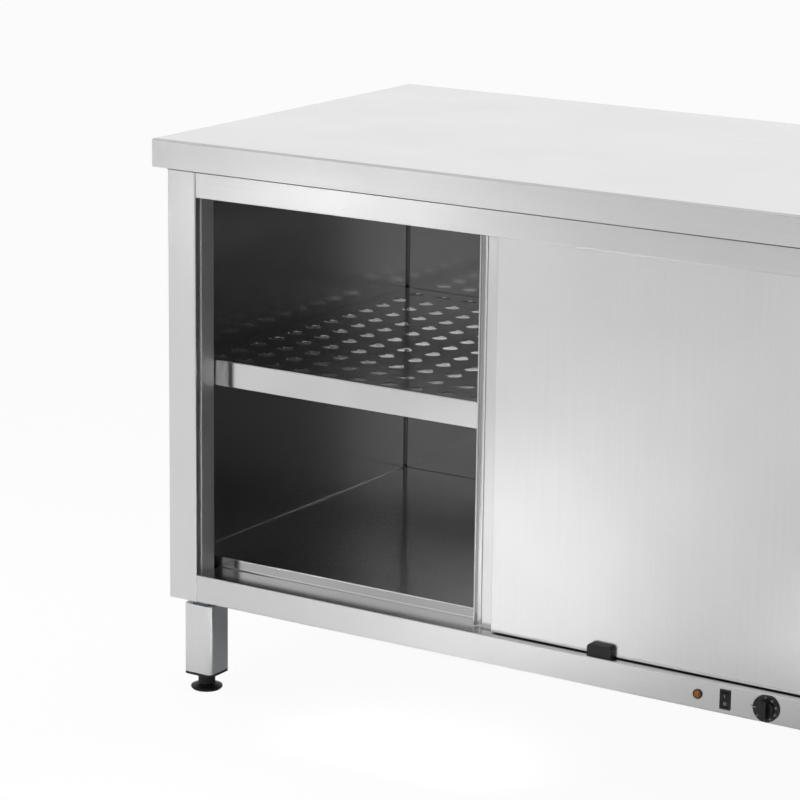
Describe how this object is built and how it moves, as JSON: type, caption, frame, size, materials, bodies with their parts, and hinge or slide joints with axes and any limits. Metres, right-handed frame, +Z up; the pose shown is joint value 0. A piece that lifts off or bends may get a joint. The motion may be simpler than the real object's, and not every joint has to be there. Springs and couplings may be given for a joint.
{
  "type": "hot cupboard",
  "caption": "Heated stainless steel cupboard on square legs, with a flat worktop, hanging sliding doors with finger pulls and a perforated shelf inside.",
  "frame": {"origin": "on the floor, under the middle of the worktop", "axes": "+X to the right along the front, +Y from the front to the rear, +Z up"},
  "size_m": [1.2, 0.7, 0.85],
  "materials": {
    "cabinet_steel": "satin stainless sheet",
    "worktop_steel": "satin stainless sheet",
    "door_steel": "satin stainless sheet",
    "zinc_steel": "galvanised sheet",
    "dark_steel": "dark spigot",
    "track_aluminium": "mill finish section",
    "black_nylon": "black moulded nylon",
    "black_plastic": "black moulding",
    "white_nylon": "white nylon",
    "ceramic": "glazed white",
    "amber_lens": "translucent amber",
    "heater_sheath": "heat-darkened sheath",
    "copper": "drawn copper"
  },
  "bodies": {
    "carcase": {"worktop": "worktop_steel", "worktop_stiffeners": "zinc_steel", "ceiling_panel": "cabinet_steel", "top_rail": "cabinet_steel", "bottom_rail": "cabinet_steel", "left_side_panel": "cabinet_steel", "right_side_panel": "cabinet_steel", "left_jamb": "cabinet_steel", "right_jamb": "cabinet_steel", "rear_panel": "cabinet_steel", "floor_tray": "cabinet_steel", "base_pan": "zinc_steel", "door_track": "track_aluminium", "door_guide": "black_nylon", "perforated_shelf": "cabinet_steel", "shelf_rib": "zinc_steel", "left_shelf_bearer": "cabinet_steel", "right_shelf_bearer": "cabinet_steel", "heating_element_front": "heater_sheath", "heating_element_rear": "heater_sheath", "heater_brackets": "zinc_steel", "thermostat_body": "black_plastic", "thermostat_bulb": "copper", "bulb_clip": "zinc_steel", "overheat_cutout": "black_plastic", "switch_housing": "black_plastic", "pilot_lamp": "amber_lens", "terminal_block": "ceramic", "cable_gland": "black_nylon", "leg_front_left": "cabinet_steel", "leg_front_right": "cabinet_steel", "leg_rear_left": "cabinet_steel", "leg_rear_right": "cabinet_steel", "leg_spigots": "dark_steel", "leg_inserts": "black_nylon"},
    "left_door": {"left_door_skin": "door_steel", "left_door_back": "cabinet_steel", "left_door_hangers": "zinc_steel"},
    "right_door": {"right_door_skin": "door_steel", "right_door_back": "cabinet_steel", "right_door_hangers": "zinc_steel"},
    "left_roller_1": {"left_door_roller_1": "white_nylon"},
    "left_roller_2": {"left_door_roller_2": "white_nylon"},
    "right_roller_1": {"right_door_roller_1": "white_nylon"},
    "right_roller_2": {"right_door_roller_2": "white_nylon"},
    "knob": {"thermostat_knob": "black_plastic"},
    "rocker": {"switch_rocker": "black_plastic"},
    "foot_fl": {"foot_front_left": "black_nylon"},
    "foot_fr": {"foot_front_right": "black_nylon"},
    "foot_rl": {"foot_rear_left": "black_nylon"},
    "foot_rr": {"foot_rear_right": "black_nylon"}
  },
  "joints": [
    {"name": "left_door_slide", "type": "slide", "parent": "carcase", "child": "left_door", "axis": [1, 0, 0], "range_m": [-0.47, 0.036]},
    {"name": "left_roller_1_spin", "type": "hinge", "parent": "left_door", "child": "left_roller_1", "pos_m": [0.007, -0.305, 0.7915], "axis": [0, 1, 0], "range_deg": [-2451, 191]},
    {"name": "left_roller_2_spin", "type": "hinge", "parent": "left_door", "child": "left_roller_2", "pos_m": [0.427, -0.305, 0.7915], "axis": [0, 1, 0], "range_deg": [-2451, 191]},
    {"name": "right_door_slide", "type": "slide", "parent": "carcase", "child": "right_door", "axis": [1, 0, 0], "range_m": [-0.506, 0]},
    {"name": "right_roller_1_spin", "type": "hinge", "parent": "right_door", "child": "right_roller_1", "pos_m": [0.463, -0.3155, 0.7915], "axis": [0, 1, 0], "range_deg": [-2639, 3]},
    {"name": "right_roller_2_spin", "type": "hinge", "parent": "right_door", "child": "right_roller_2", "pos_m": [0.043, -0.3155, 0.7915], "axis": [0, 1, 0], "range_deg": [-2639, 3]},
    {"name": "knob_turn", "type": "hinge", "parent": "carcase", "child": "knob", "pos_m": [0.416, -0.334, 0.17], "axis": [0, 1, 0], "range_deg": [0, 270]},
    {"name": "rocker_tip", "type": "hinge", "parent": "carcase", "child": "rocker", "pos_m": [0.354, -0.3325, 0.17], "axis": [1, 0, 0], "range_deg": [-16, 0]},
    {"name": "foot_fl_screw", "type": "slide", "parent": "carcase", "child": "foot_fl", "axis": [0, 0, -1], "range_m": [0, 0.025]},
    {"name": "foot_fr_screw", "type": "slide", "parent": "carcase", "child": "foot_fr", "axis": [0, 0, -1], "range_m": [0, 0.025]},
    {"name": "foot_rl_screw", "type": "slide", "parent": "carcase", "child": "foot_rl", "axis": [0, 0, -1], "range_m": [0, 0.025]},
    {"name": "foot_rr_screw", "type": "slide", "parent": "carcase", "child": "foot_rr", "axis": [0, 0, -1], "range_m": [0, 0.025]}
  ],
  "couplings": [
    {"joint": "left_roller_1_spin", "follows": "left_door_slide", "rad_per_m": 90.909},
    {"joint": "left_roller_2_spin", "follows": "left_door_slide", "rad_per_m": 90.909},
    {"joint": "right_roller_1_spin", "follows": "right_door_slide", "rad_per_m": 90.909},
    {"joint": "right_roller_2_spin", "follows": "right_door_slide", "rad_per_m": 90.909}
  ]
}
